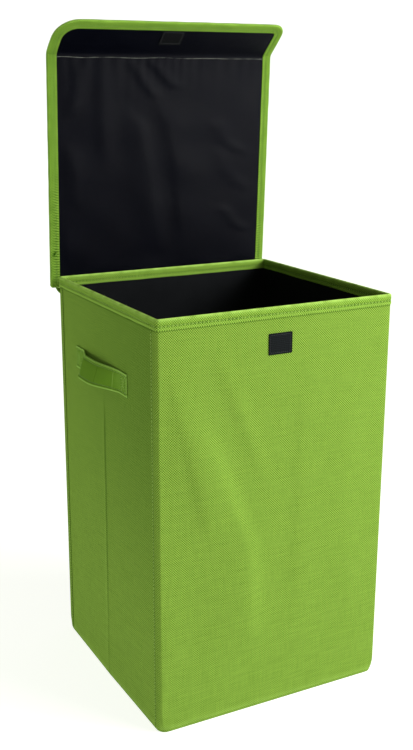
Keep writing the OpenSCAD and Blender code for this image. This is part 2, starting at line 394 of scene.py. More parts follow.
def sewn(name, lines, material, pitch=STITCH, length=STITCH_L, radius=THREAD_R):
    """Rows of lock stitches. Each line is (points, normals). A stitch dives into the cloth at its ends."""
    verts, faces, uvs = [], [], []
    stations, sides = (-0.5, -0.36, 0, 0.36, 0.5), 6
    around = np.arange(sides) * 2 * math.pi / sides
    stitch_uvs = [(i + di, j + dj) for i in range(len(stations) - 1) for j in range(sides)
                  for di, dj in ((0, 0), (0, 1), (1, 1), (1, 0))] + [(0, 0)] * (2 * sides)
    for points, normals in lines:
        along = lengths_along(points)
        count = max(1, int(along[-1] / pitch))
        for k in range(count):
            middle = (k + 0.5) * along[-1] / count
            ends = [middle - length / 2, middle + length / 2]
            spots = np.stack([np.interp(ends, along, points[:, i]) for i in range(3)], 1)
            normal = np.array([np.interp(middle, along, normals[:, i]) for i in range(3)])
            normal /= np.linalg.norm(normal)
            way = spots[1] - spots[0]
            if np.linalg.norm(way) < 0.5 * length:
                continue
            across = np.cross(way / np.linalg.norm(way), normal)
            faces += tube_faces(len(verts), len(stations), sides)
            uvs += stitch_uvs
            for t in stations:
                centre = spots.mean(0) + way * t + normal * radius * (0.75 - 6.2 * t * t)
                thick = radius * (1 - 0.9 * t * t)
                verts += [centre + thick * (math.cos(a) * across + math.sin(a) * normal) for a in around]
    return mesh_piece(name, np.array(verts), faces, np.array(uvs) * [length / 4, radius], material)


def line_on(place, us, vs, o):
    """Points and normals of a line on a surface, for a row of stitches. o is an offset or a relief."""
    us, vs = np.broadcast_arrays(np.asarray(us, float), np.asarray(vs, float))
    o = np.broadcast_to(o(us, vs) if callable(o) else o, us.shape)
    points = place(us, vs, o)
    normals = place(us, vs, o + 0.1 * MM) - points
    return points, normals / np.linalg.norm(normals, axis=1)[:, None]


def border_lines(place, middle, half_u, half_v, relief, count):
    """Lines round a rectangle on a surface, for a sewn border."""
    corners = np.array([(-1, -1), (1, -1), (1, 1), (-1, 1), (-1, -1)]) * [half_u, half_v] + middle
    share = np.linspace(0, 1, count)[:, None]
    return [line_on(place, *(a + (b - a) * share).T, relief) for a, b in zip(corners[:-1], corners[1:])]


# ---- Materials ----

class Value:
    """A number that a material's nodes work out. Sums with it add nodes."""

    def __init__(self, shader, socket):
        self.shader, self.socket = shader, socket

    def __add__(self, other):
        return self.shader.math("ADD", self, other)

    def __sub__(self, other):
        return self.shader.math("SUBTRACT", self, other)

    def __mul__(self, other):
        return self.shader.math("MULTIPLY", self, other)

    def __truediv__(self, other):
        return self.shader.math("DIVIDE", self, other)


class Shader:
    """A material's nodes, with short calls for those that the cloths use."""

    def __init__(self, name, roughness, specular, sheen=0.0, sheen_roughness=0.5):
        self.material = bpy.data.materials.new(name)
        self.material.use_nodes = True
        self.nodes = self.material.node_tree.nodes
        self.links = self.material.node_tree.links
        self.bsdf = self.nodes["Principled BSDF"]
        self.put(self.bsdf, {"Roughness": roughness, "Specular IOR Level": specular, "Sheen Weight": sheen,
                             "Sheen Roughness": sheen_roughness})
        self.uv = self.node("UVMap", uv_map="cloth")
        split = self.nodes.new("ShaderNodeSeparateXYZ")
        self.put(split, {0: self.uv})
        self.u, self.v = Value(self, split.outputs[0]), Value(self, split.outputs[1])

    def put(self, node, values):
        """Sets a node's inputs to numbers or colours, or links them to other values."""
        for key, value in values.items():
            if isinstance(value, Value):
                self.links.new(value.socket, node.inputs[key])
            else:
                node.inputs[key].default_value = value

    def node(self, kind, values=(), output=0, **settings):
        """The value of a new node, from its settings and the values of its inputs."""
        node = self.nodes.new("ShaderNode" + kind)
        for key, setting in settings.items():
            setattr(node, key, setting)
        self.put(node, dict(values))
        return Value(self, node.outputs[output])

    def math(self, operation, a, b=0.0, clamp=False):
        return self.node("Math", {0: a, 1: b}, operation=operation, use_clamp=clamp)

    def point(self, x, y):
        return self.node("CombineXYZ", {0: x, 1: y})

    def noise(self, vector, scale, detail=2.0):
        return self.node("TexNoise", {"Vector": vector, "Scale": scale, "Detail": detail})

    def mix(self, factor, a, b):
        """Colour a where factor is 0 and b where it is 1."""
        a, b = ((*c, 1) if isinstance(c, tuple) else c for c in (a, b))
        return self.node("Mix", {0: factor, 6: a, 7: b}, output=2, data_type="RGBA")

    def pick(self, factor, a, b):
        """Number a where factor is 0 and b where it is 1."""
        return self.node("Mix", {0: factor, 2: a, 3: b})

    def span(self, value, low, high):
        """A value from 0 to 1 spread over low to high."""
        return value * (high - low) + low

    def finish(self, colour, rough, height, distance):
        """The material, with its colour, its roughness if that varies, and its relief of a height."""
        self.put(self.bsdf, {"Base Color": colour})
        if rough is not None:
            self.put(self.bsdf, {"Roughness": rough})
        bumps = self.node("Bump", {"Distance": distance, "Height": height})
        self.put(self.bsdf, {"Normal": bumps})
        return self.material


def weave(s, pitch, wobble):
    """A plain weave of one thread pitch: its height, a shade that differs from thread to thread, and a shade
    that alternates over the crossings."""
    sway = (s.noise(s.uv, 0.09 / pitch) - 0.5) * wobble
    a = s.u / pitch + sway
    b = s.v / pitch - sway
    wave_a = s.math("SINE", a * math.pi)
    wave_b = s.math("SINE", b * math.pi)
    warp_up = s.math("GREATER_THAN", wave_a * wave_b, 0.0)
    round_a = s.math("POWER", s.math("ABSOLUTE", wave_a), 0.6)
    round_b = s.math("POWER", s.math("ABSOLUTE", wave_b), 0.6)
    warp = round_a * s.span(round_b, 0.55, 1.0)
    weft = round_b * s.span(round_a, 0.55, 1.0)
    height = s.pick(warp_up, weft, warp)
    slub_a = s.noise(s.point(a, b * 0.06), 0.9, 1.0)
    slub_b = s.noise(s.point(a * 0.06, b), 0.9, 1.0)
    checker = wave_a * wave_b * 1.6
    return height, s.pick(warp_up, slub_b, slub_a), checker


def linen(name, pitch, deep, light, wear_and_highlight, wobble=1.1, contrast=1.0, pressed=None):
    """Woven cloth with uneven threads and faint mottling. Its tone attribute is mostly painted light: paler for
    painted highlights on folds, ridges and edges, darker for painted shade in stitching, creases and under
    the rim tape, with a little real wear. Below the height pressed its threads lie flatter."""
    s = Shader(name, 0.9, 0.022, sheen=0.004, sheen_roughness=0.45)
    height, slub, checker = weave(s, pitch, wobble)
    depth, grain = 0.46 * contrast, 0.30 * contrast
    if pressed is not None:
        open_weave = s.math("DIVIDE", s.v, pressed, clamp=True)
        depth = s.span(open_weave, 0.27 * depth, depth)
        height = height * s.span(open_weave, 0.6, 1.0)
        streaks = s.noise(s.point(s.u * 18, s.v * 240), 1.0, 3.0)
        slub = s.span(slub, 0.25, 0.75) + s.span(streaks, -0.10, 0.10)
    threads = s.span(slub, -grain, grain) + checker * depth
    cloth = s.mix(s.math("ADD", s.span(height, 0.36, 0.56), threads, clamp=True), deep, light)
    patches = s.math("MULTIPLY", s.noise(s.uv, 30, 4.0) - 0.5, 1.1, clamp=True)
    cloth = s.mix(patches, cloth, wear_and_highlight)
    tone = s.node("Attribute", output="Fac", attribute_name="tone")
    # Tone above 0 mixes towards a pale colour for painted highlights, below 0 towards a dark green for painted
    # shade
    pale = tuple(min(1, 1.35 * c + 0.08) for c in light)
    dark = (0.25 * deep[0], 0.55 * deep[1], 0.0)
    cloth = s.mix(s.math("MAXIMUM", tone, 0.0), cloth, pale)
    cloth = s.mix(s.math("MAXIMUM", tone * -1.0, 0.0), cloth, dark)
    return s.finish(cloth, s.span(s.noise(s.uv, 160), 0.78, 0.95), height, 0.30 * pitch)


def nylon(name, specular, tone, glow):
    """Thin black nylon: a very fine twill, a soft satin shine and cloudy dust."""
    s = Shader(name, 0.42, specular, sheen=0.003, sheen_roughness=0.3)
    line = s.math("SINE", (s.u + s.v) * (2 * math.pi / (0.55 * MM)))
    cross = s.math("SINE", (s.u - s.v) * (2 * math.pi / (0.9 * MM)))
    grain = s.span(line * 0.5 + cross * 0.25, 0.5, 1.0)
    cloud = s.noise(s.uv, 22, 5.0)
    colour = s.mix(grain * cloud, tone, glow)
    return s.finish(colour, s.span(cloud, 0.34, 0.52), grain + s.noise(s.uv, 420, 3.0) * 0.8, 0.06 * MM)


def thread(name, tone, light):
    """Twisted sewing thread."""
    s = Shader(name, 0.6, 0.35, sheen=0.1)
    ply = s.span(s.math("SINE", (s.u + s.v * 1.6) * 9000.0), 0.5, 1.0)
    return s.finish(s.mix(ply, tone, light), None, ply, 0.05 * MM)


def card(name):
    """Grey-brown stiff board, with long fibres and specks."""
    s = Shader(name, 0.9, 0.2)
    fibre = s.noise(s.point(s.u * 0.12, s.v), 900, 4.0)
    speck = s.math("GREATER_THAN", s.noise(s.uv, 1400, 1.0), 0.66)
    colour = s.mix(speck * 0.5, s.mix(fibre, (0.30, 0.21, 0.12), (0.50, 0.37, 0.23)), (0.16, 0.12, 0.08))
    return s.finish(colour, s.span(fibre, 0.8, 0.96), fibre, 0.08 * MM)


def pile(name, rib, tone, light):
    """Touch-fastener tape: a tangle of tiny fibres on fine ribs."""
    s = Shader(name, 0.75, 0.07, sheen=0.015, sheen_roughness=0.35)
    ribs = s.span(s.math("SINE", s.v * (2 * math.pi / rib)), 0.5, 1.0)
    fuzz = s.noise(s.uv, 2600, 5.0)
    clump = s.noise(s.uv, 420, 3.0)
    colour = s.mix(ribs * fuzz * clump, tone, light)
    return s.finish(colour, s.span(fuzz, 0.6, 0.9), fuzz + ribs * 0.6, 0.25 * MM)


LIME_DEEP, LIME_LIGHT, LIME_WORN = (0.048, 0.118, 0.006), (0.340, 0.545, 0.080), (0.20, 0.33, 0.048)
LINEN = linen("lime_linen", 1.6 * MM, LIME_DEEP, LIME_LIGHT, LIME_WORN, contrast=1.3)
WALL_LINEN = linen("lime_wall_linen", 1.6 * MM, LIME_DEEP, LIME_LIGHT, LIME_WORN, contrast=1.35, pressed=0.40)
TAPE = linen("lime_edge_tape", 1.6 * MM, (0.040, 0.115, 0.005), (0.355, 0.585, 0.078), (0.22, 0.38, 0.050),
             wobble=0.6, contrast=1.2)
LID_TAPE = linen("lime_lid_tape", 1.9 * MM, (0.036, 0.112, 0.005), (0.335, 0.570, 0.072), (0.20, 0.36, 0.045),
                 wobble=1.6, contrast=1.25)
STRAP = linen("lime_strap", 1.3 * MM, (0.036, 0.115, 0.004), (0.220, 0.410, 0.036), (0.15, 0.28, 0.030),
              wobble=0.8, contrast=0.9)
NYLON = nylon("black_nylon", 0.043, (0.0006, 0.0008, 0.0024), (0.0018, 0.0023, 0.0060))
# A lighter copy of the black nylon for the walls, bottom and base board inside the tray: painted light,
# standing in for light that the inside lacks
WALL_NYLON_PAINTED_LIGHTER = nylon("black_wall_nylon", 0.035, (0.0045, 0.0050, 0.0056), (0.012, 0.0132, 0.0148))
THREAD = thread("lime_thread", (0.15, 0.27, 0.035), (0.36, 0.56, 0.11))
DARK_THREAD = thread("black_thread", (0.004, 0.0045, 0.005), (0.018, 0.020, 0.022))
CREASE_THREAD = thread("grey_thread", (0.06, 0.065, 0.055), (0.17, 0.18, 0.15))
CARD = card("stiff_board")
LOOP = pile("loop_pile", 2.4 * MM, (0.003, 0.004, 0.0045), (0.018, 0.025, 0.028))
HOOK = pile("hook_tape", 1.5 * MM, (0.003, 0.0035, 0.004), (0.016, 0.018, 0.020))


# ---- The bodies that pieces ride, and the CAD nodes that they stand for ----

def bends(way, *pieces):
    """Bakes each piece's transform into its mesh."""
    first, second, start, end = way
    for piece in pieces:
        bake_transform(piece)
        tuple(start)
        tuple(end)


def rides(body, *pieces):
    for piece in pieces:
        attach(piece, body)


def dress(piece, slot, *nodes):
    """Hides the CAD nodes that a piece stands for. The slot of its finish is not used."""
    if nodes:
        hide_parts(*nodes)
    return piece


def declare(piece, held, rests_on, *with_pieces):
    tuple(piece["flat"])


def fold_way(first, second, side, start_y, end_y, lean=0.0):
    """Two bodies, and where a fold in a side starts and ends."""
    x = side * HALF_W
    return first, second, (x, start_y, 0), (x + lean, end_y, 0)


# The front and back cloths reach to the far corner, and their fold lines lean inwards
LEAN_IN = 0.8 * MM
MOVES = {
    "front": fold_way("left_front_side", "front_wall", -1, -FOLD_IN, -FOLD_OUT, LEAN_IN),
    "front_right": fold_way("right_front_side", "front_right_seam", 1, -FOLD_IN, -FOLD_OUT),
    "back": fold_way("left_rear_side", "back_wall", -1, FOLD_IN, FOLD_OUT, LEAN_IN),
    "back_right": fold_way("right_rear_side", "back_wall", 1, FOLD_IN, FOLD_OUT),
    "left": fold_way("left_rear_side", "left_front_side", -1, MIDDLE_BEND, -MIDDLE_BEND),
    "right": fold_way("right_rear_side", "right_front_side", 1, MIDDLE_BEND, -MIDDLE_BEND),
}


# ---- Reliefs: how far each cloth stands off its board ----

def below_tape(z, depth=4 * MM):
    """0 under the rim tape and 1 from a depth below it."""
    return smooth((TAPE_FOOT - z) / depth)


def panel_fade(along, half, z):
    """1 in the middle of a wall and 0 where it is bound, sewn or stands."""
    sewn_edge, bound_edge, standing_edge = 22 * MM, 18 * MM, 30 * MM
    return (smooth((half - np.abs(along)) / sewn_edge) * below_tape(z + 1 * MM, bound_edge)
            * smooth((z - FOOT_Z) / standing_edge))


FRONT_FOLDS = [
    # a line of (x, z), its widths to the left and the right, and its height
    ([(-0.136, 0.455), (-0.088, 0.338), (-0.047, 0.237), (-0.043, 0.146), (-0.042, 0.060)],
     0.055, 0.018, 6.0 * MM),
    ([(-0.160, 0.510), (-0.128, 0.380), (-0.094, 0.240)], 0.010, 0.030, 2.4 * MM),
    ([(-0.100, 0.530), (-0.058, 0.430), (-0.018, 0.320)], 0.010, 0.014, 1.7 * MM),
    ([(0.040, 0.490), (0.036, 0.300), (0.034, 0.100)], 0.009, 0.034, 1.5 * MM),
    ([(0.118, 0.480), (0.108, 0.300), (0.120, 0.100)], 0.040, 0.025, 1.5 * MM),
]
BACK_FOLDS = [
    ([(0.070, 0.460), (0.020, 0.250), (0.048, 0.100)], 0.040, 0.026, 1.8 * MM),
    ([(-0.110, 0.420), (-0.086, 0.220), (-0.100, 0.090)], 0.030, 0.030, 1.2 * MM),
]


def band_relief(y, z):
    """The lift of the band that is sewn over each side, with a ridge along its seam."""
    ridge = 0.5 * MM * bump(np.abs(y) - (BAND_Y + BAND_RIDGE), 1.0 * MM)
    return (COVER_T + ridge) * smooth((HALF_D - 3 * MM - np.abs(y)) / (5 * MM)) * below_tape(z)


def end_wall_relief(run, folds, seed):
    """The front or back cover: soft folds in the middle, and the band over each side."""
    def relief(s, z):
        x, y = run.at(s)[:2]
        rise = 0.35 * MM + 0.3 * MM * ripple(x, z, 0.09, seed) + soft_folds(x, z, folds)
        seam = 0.55 * MM * bump(x - (HALF_W - 6 * MM), 1.4 * MM) * below_tape(z)
        return panel_fade(x, HALF_W - 4 * MM, z) * np.maximum(rise, 0) + band_relief(y, z) + seam
    return relief


def seam_tone(y, z):
    """The tone of a band sewn over a side: painted shade in the stitching and at its edge, a painted highlight
    on its ridge, and a little darker all over.
    """
    band = smooth((HALF_D - 3 * MM - np.abs(y)) / (3 * MM)) * (z < TAPE_FOOT)
    from_edge = np.abs(y) - BAND_Y
    ridge = 0.30 * bump(from_edge - BAND_RIDGE, 0.9 * MM)
    grooves = 0.5 * bump(from_edge - BAND_SEAM, 0.9 * MM) + 0.7 * bump(from_edge, 0.8 * MM)
    return band * (ridge - grooves - 0.12)


def foot_tone(z):
    """The tone of the walls: a painted shadow just under the rim tape, and a little dull and rubbed at the
    foot.
    """
    return 0.12 * bump(z - FOOT_Z, 5 * MM) - 0.5 * bump(z - (TAPE_FOOT - 0.6 * MM), 1.1 * MM)


SIDE_BOW = 2.6 * MM


def side_bow(y, z):
    """How far a side bows out, most at the foot of its middle fold."""
    return SIDE_BOW * (1 - np.abs(y) / CORNER_Y) * np.clip(1 - z / RIM_Z, 0, 1)


def side_relief(seed):
    """A side cover: its bow, and a shallow groove where it folds."""
    def relief(y, z):
        rise = 0.3 * MM + 0.25 * MM * ripple(y, z, 0.08, seed)
        groove = 0.5 * MM * bump(y, 1.8 * MM) * below_tape(z, 30 * MM)
        return side_bow(y, z) + panel_fade(y, BAND_Y - 2 * MM, z) * (rise - groove)
    return relief


# ---- Walls ----

WALL_TOP = RIM_Z - 3 * MM
COVER_Z = np.concatenate([ticks(FOOT_Z - 0.1 * MM, FOOT_Z + 26 * MM, 4 * MM)[:-2],
                          np.linspace(FOOT_Z + 30 * MM, RIM_Z - 24 * MM, 96),
                          np.linspace(RIM_Z - 20 * MM, RIM_Z - 11 * MM, 10),
                          ticks(RIM_Z - 8 * MM, WALL_TOP, 2.4 * MM)[2:]])
LINING_Z = ticks(FOOT_Z + 0.2 * MM, WALL_TOP, 9 * MM)
BOARD_Z = ticks(FOOT_Z + 1.5 * MM, WALL_TOP - 0.5 * MM, 14 * MM)


def wall_cover(name, run, relief, tone, *nodes):
    cover = shell(name, upright(run), run.lengths, COVER_Z, shifted(relief, -COVER_T), relief, WALL_LINEN,
                  tone=tone)
    return dress(cover, "cover", *nodes)


def wall_lining(name, run, relief, *nodes):
    lining = shell(name, upright(run), run.lengths, LINING_Z, relief, shifted(relief, LINING_T), WALL_NYLON_PAINTED_LIGHTER)
    return dress(lining, "lining", *nodes)


def wall_board(name, run, margin, body, bow=lambda s, z: 0 * z):
    """A stiff board between a cover and a lining, short of the fabric that turns its edges."""
    us = ticks(run.lengths[0] + margin, run.lengths[-1] - margin, BOARD_STEP)
    board = shell(f"{name}_board_panel", upright(run), us, BOARD_Z, shifted(bow, LINING_T - WALL_T),
                  shifted(bow, -COVER_T), CARD)
    rides(body, dress(board, "board", f"{name}_board"))
    return board


def band_tone(run):
    return lambda s, z: seam_tone(run.at(s)[1], z) + foot_tone(z)


def band_stitches(name, run, relief, u):
    """The row of stitches that holds a band down on a side, at one length along its run."""
    zs = np.arange(FOOT_Z + 6 * MM, TAPE_FOOT - 2 * MM, 2 * MM)
    return dress(sewn(name, [line_on(upright(run), u, zs, relief)], THREAD), "binding")


def end_corners(side, half_w, half_d, left_end, right_end):
    """The plan of the front (-1) or back (+1) wall, with a leg round each corner."""
    corners = [(-half_w, left_end), (-half_w, half_d), (half_w, half_d), (half_w, right_end)]
    return [(x, side * y) for x, y in corners][::-side]


def end_wall(name, side, folds, seed, loft):
    """The front or back wall: its cover turns the left corner onto the side, and so does its lining.
    loft is how far the lining stands off its board, on average."""
    legs = [1 * MM, 4 * MM, 1.5 * MM][::-side]
    run = Run(end_corners(side, HALF_W, HALF_D, BAND_Y, FOLD_OUT), legs)
    relief = end_wall_relief(run, folds, seed)
    end = "front" if side < 0 else "rear"
    cover = wall_cover(f"{name}_cover_cloth", run, relief, band_tone(run), f"{name}_cover",
                       f"{end}_left_corner_tape")
    off_seam = np.abs(run.points[:, 1] - side * (BAND_Y + BAND_SEAM)) + (run.points[:, 0] > 0)
    seam = band_stitches(f"{name}_left_seam_stitches", run, relief, run.lengths[np.argmin(off_seam)])
    inner = Run(end_corners(side, INNER_X, INNER_Y, BAND_Y, INNER_Y - 1.1 * MM), legs, radius=1 * MM)

    def nap(s, z):
        x, y = inner.at(s)[:2]
        lift = smooth((INNER_Y - 1.5 * MM - np.abs(y)) / (3 * MM))
        soft = loft * (1 + ripple(x, z, 0.06, seed + 40)) * panel_fade(x, INNER_X - 6 * MM, z)
        return -LINING_T * lift - soft
    lining = wall_lining(f"{name}_lining_cloth", inner, nap, f"{name}_lining")
    ends = [(-HALF_W * -side, side * HALF_D), (HALF_W * -side, side * HALF_D)]
    board = wall_board(name, Run(ends, BOARD_STEP), 5 * MM, f"{name}_wall")
    bends(MOVES[name], cover, seam, lining)
    declare(cover, "stretched", [board], seam)
    declare(lining, "stretched", [board])
    return run, relief


def corner_seam(name, side, way):
    """A right corner: the strip of cover, the strip of lining and their stitches that close it."""
    end = "rear" if side > 0 else "front"
    run = Run([(HALF_W, side * y) for y in (BAND_Y, FOLD_OUT - 0.1 * MM)][::side], 1 * MM)

    def relief(s, z):
        return band_relief(run.at(s)[1], z)

    def nap(s, z):
        return -LINING_T * (1 + below_tape(z))
    strip = wall_cover(f"{name}_seam_cloth", run, relief, band_tone(run), f"{name}_corner_tape")
    off_seam = np.abs(np.abs(run.points[:, 1]) - (BAND_Y + BAND_SEAM))
    seam = band_stitches(f"{name}_seam_stitches", run, relief, run.lengths[np.argmin(off_seam)])
    inner = Run([(INNER_X, side * y) for y in (BAND_Y, INNER_Y - 1.3 * MM)][::side], 1.2 * MM)
    lining = wall_lining(f"{name}_lining_strip", inner, nap)
    bends(way, strip, seam, lining)
    declare(strip, "stretched", [f"right_{end}_cover"], seam)
    declare(lining, "stretched", [f"right_{end}_lining"])


def side_wall(name, side, seed):
    """A side: cover and lining run unbroken over the middle fold, with a half board on each side of it."""
    end, middle = CORNER_Y - 2.2 * MM, MIDDLE_BEND + 2 * MM
    stops = [end, middle, -middle, -end][::-side]
    spacing = [5 * MM, 0.8 * MM, 5 * MM]
    run, inner = (Run([(side * x, y) for y in stops], spacing) for x in (HALF_W, INNER_X))
    curve = side_relief(seed)

    def relief(s, z):
        return curve(run.at(s)[1], z)

    def tone(s, z):
        """Painted shade in the middle fold with a painted highlight beside it, and painted shade that deepens
        towards the top and front.
        """
        y = run.at(s)[1]
        folded = 0.35 + 0.65 * smooth((z - 40 * MM) / (160 * MM))
        folded = folded * smooth((RIM_Z - 130 * MM - z) / (60 * MM))
        crease = 0.42 * bump(y, 2.6 * MM) * folded
        toward_front = 1 - 0.6 * smooth((y + CORNER_Y) / (2 * CORNER_Y))
        deep = 0.33 * smooth((z - 60 * MM) / (420 * MM)) * toward_front
        return foot_tone(z) - deep - crease + 0.12 * bump(y - 6 * MM, 3 * MM) * folded

    def nap(s, z):
        y = inner.at(s)[1]
        soft = 0.35 * MM * (1 + ripple(y, z, 0.06, seed + 40)) * panel_fade(y, CORNER_Y - 6 * MM, z)
        return side_bow(y, z) - soft * smooth(np.abs(y) / (12 * MM))
    cover = wall_cover(f"{name}_cover_cloth", run, relief, tone, f"{name}_rear_cover", f"{name}_front_cover")
    lining = wall_lining(f"{name}_lining_cloth", inner, nap, f"{name}_rear_lining", f"{name}_front_lining")
    boards = []
    for half, sign in (("rear", 1), ("front", -1)):
        ends = sorted([sign * (CORNER_Y - 1.5 * MM), sign * BOARD_MARGIN], reverse=side < 0)
        half_run = Run([(side * HALF_W, y) for y in ends], BOARD_STEP)
        boards.append(wall_board(f"{name}_{half}", half_run, 0, f"{name}_{half}_side",
                                 lambda s, z: side_bow(half_run.at(s)[1], z)))
    bends(MOVES[name], cover, lining)
    declare(cover, "stretched", boards)
    declare(lining, "stretched", boards)
    return curve


# ---- Rim tapes ----

def tape_holes(s, beat):
    """1 where the stitches go through a tape and about 0.5 between."""
    return 0.75 + 0.25 * np.cos(2 * math.pi * s * beat)


def tape_tone(fold, s, t, beat, wear_and_highlight, wide):
    """The tone of a folded tape: paler along the fold, partly wear and partly a painted highlight, with painted
    highlights on its lower ridge and edges and painted shade in the stitch holes.
    """
    low = fold.low(t)
    # paler along the fold: wear with a painted highlight
    bent = wear_and_highlight * bump(low - fold.length / 2, wide) * (0.7 + 0.3 * ripple(s, 0 * s, 0.012, 77))
    uneven = 0.75 + 0.25 * ripple(s, 0 * s, 0.035, 78)
    holes = bump(low - TAPE_STITCH, 1.3 * MM) * (0.10 + 1.60 * (tape_holes(s, beat) - 0.5)) * uneven
    return bent + 0.12 * bump(low - 2.4 * MM, 1.2 * MM) + 0.15 * bump(low, 0.5 * MM) - holes


def tape_relief(low, s, beat):
    """The dips at a tape's stitches, and its puff on both sides of them."""
    dip = 0.36 * MM * bump(low - TAPE_STITCH, 0.9 * MM) * tape_holes(s, beat)
    return dip, 0.26 * MM * bump(low - 2.4 * MM, 1.5 * MM) + 0.30 * MM * bump(low - 8.5 * MM, 2.0 * MM)


def tape_stitches(name, place, us, fold, relief):
    return dress(sewn(name, [line_on(place, us, t, relief) for t in fold.seams], THREAD), "binding")


def rim_tape(name, corners, steps, nodes, rests_on, seed):
    """Woven tape folded over the rim, with a row of lock stitches low on both faces."""
    run, fold = Run(corners, steps), Fold(WALL_T / 2)
    place = over_rim(run, fold)
    first, last = run.lengths[2], run.lengths[-3]
    beat = max(1, int((last - first) / STITCH)) / (last - first)

    def relief(s, t):
        low = fold.low(t)
        dip, puff = tape_relief(low, s - first, beat)
        wave = 0.22 * MM * ripple(s, t, 0.030, seed)
        wave = wave * smooth(low / (3 * MM)) * smooth((13 * MM - low) / (3 * MM))
        return TAPE_T + puff + wave - dip

    def loose_edge(s, t, o):
        shift = 0.35 * MM * ripple(s, 0 * s, 0.045, seed + 9) * (1 - smooth(fold.low(t) / (6 * MM)))
        return place(s, t + np.where(t < fold.length / 2, shift, -shift), o)

    tape = shell(f"{name}_rim_tape", loose_edge, run.lengths, fold.stations, 0.0, relief, TAPE,
                 tone=lambda s, t: tape_tone(fold, s - first, t, beat, 0.95, 3.0 * MM))
    dress(tape, "binding", *nodes)
    us = np.linspace(first, last, 400)
    stitches = tape_stitches(f"{name}_rim_stitches", loose_edge, us, fold, relief)
    bends(MOVES[name], tape, stitches)
    declare(tape, "folded", [rests_on], stitches)


def rim_tapes():
    gap, step, fine_step = 0.05 * MM, STITCH / 3, 0.8 * MM
    for name, side in (("front", -1), ("back", 1)):
        corners = end_corners(side, HALF_W, HALF_D, BAND_Y, FOLD_OUT)
        rim_tape(name, corners, step, [f"{name}_rim_binding"], f"{name}_cover_cloth", 20 + side)
    end, middle = BAND_Y - gap, MIDDLE_BEND + 1 * MM
    for name, side in (("left", -1), ("right", 1)):
        corners = [(side * HALF_W, y) for y in (end, middle, -middle, -end)][::-side]
        nodes = [f"{name}_rear_rim_binding", f"{name}_front_rim_binding"]
        rim_tape(name, corners, [step, fine_step, step], nodes, f"{name}_cover_cloth", 30 + side)
    for name, side in (("back_right", 1), ("front_right", -1)):
        corners = [(HALF_W, side * y) for y in (BAND_Y, FOLD_OUT - gap)][::side]
        node = f"{'rear' if side > 0 else 'front'}_right_corner_tape"
        rim_tape(name, corners, fine_step, [node], node, 50 + side)


# ---- Bottom ----

BASE_ROOM = 1.8 * MM


def bottom():
    """The sewn bottom: a sheet, and a hem that meets the walls."""
    turn_r = 2.2 * MM
    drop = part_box("bottom_hem")[1].z + 0.15 * MM - turn_r
    quarter = turn_r * math.pi / 2
    corners = [(0, -1), (1, -1), (1, 1), (-1, 1), (-1, -1), (0, -1)]
    loop = Run([(x * HALF_W, y * HALF_D) for x, y in corners], 5 * MM)

    def place(s, t, o):
        x, y, nx, ny = loop.at(s)
        turn = np.clip((t - drop) / quarter, 0, 1) * math.pi / 2
        under = np.maximum(t - drop - quarter, 0)
        bow = np.where(np.abs(x) > HALF_W - 1 * MM, SIDE_BOW * np.clip(1 - np.abs(y) / CORNER_Y, 0, 1), 0)
        out = -turn_r + (turn_r + o) * np.cos(turn) - under + bow * (1 - smooth(t / (6 * MM)))
        z = turn_r - (turn_r + o) * np.sin(turn) + np.maximum(drop - t, 0)
        return settle(x + nx * out, y + ny * out, z)
    hem = shell("bottom_hem_cloth", place, loop.lengths[:-1], ticks(0, drop + quarter + 8 * MM, 0.8 * MM),
                -COVER_T, 0.0, WALL_LINEN, wrap=True, back=WALL_NYLON_PAINTED_LIGHTER)
    across, along = (ticks(3 * MM - half, half - 3 * MM, 12 * MM) for half in (HALF_W, HALF_D))
    sheet = shell("bottom_cloth", settle, across, along, 0.05 * MM,
                  lambda x, y: 0.75 * MM + 0.12 * MM * ripple(x, y, 0.05, 5), WALL_NYLON_PAINTED_LIGHTER, back=LINEN)
    for piece, node in ((hem, "bottom_hem"), (sheet, "bottom_fabric")):
        dress(piece, "cover", node)
        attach(piece, "back_wall")
        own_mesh(piece)
    declare(hem, "folded", [sheet])
    declare(sheet, "laid", ["bottom_hem_cloth"])


def base_board():
    """The loose base board: a stiff board wrapped in nylon, with a sewn border."""
    low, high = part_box("base_board")
    half_x, half_y = high.x - TAPER - BASE_ROOM, high.y
    inset = 6 * MM

    def top(x, y):
        border = np.minimum(half_x - np.abs(x), half_y - np.abs(y))
        wave = 0.16 * MM * ripple(x, y, 0.05, 71) * smooth(border / (20 * MM))
        return high.z - 0.6 * MM - 0.25 * MM * bump(border - inset, 1.2 * MM) + wave

    fine = [0, 0.3, 0.8, 1.6, 3.2, 4.6, 5.4, 6.0, 6.6, 7.6]
    xs, ys = (fine_ends(half, fine, 12 * MM, 34) for half in (half_x, half_y))
    board = shell("base_board_wrapped", settle, xs, ys, low.z + 0.1 * MM, top, WALL_NYLON_PAINTED_LIGHTER)
    rows = border_lines(settle, (0, 0), half_x - inset, half_y - inset, top, 60)
    stitches = sewn("base_board_stitches", rows, DARK_THREAD, pitch=5.4 * MM)
    rides("base", dress(board, "base_wrap", "base_board"), dress(stitches, "base_wrap"))


# ---- Handles ----

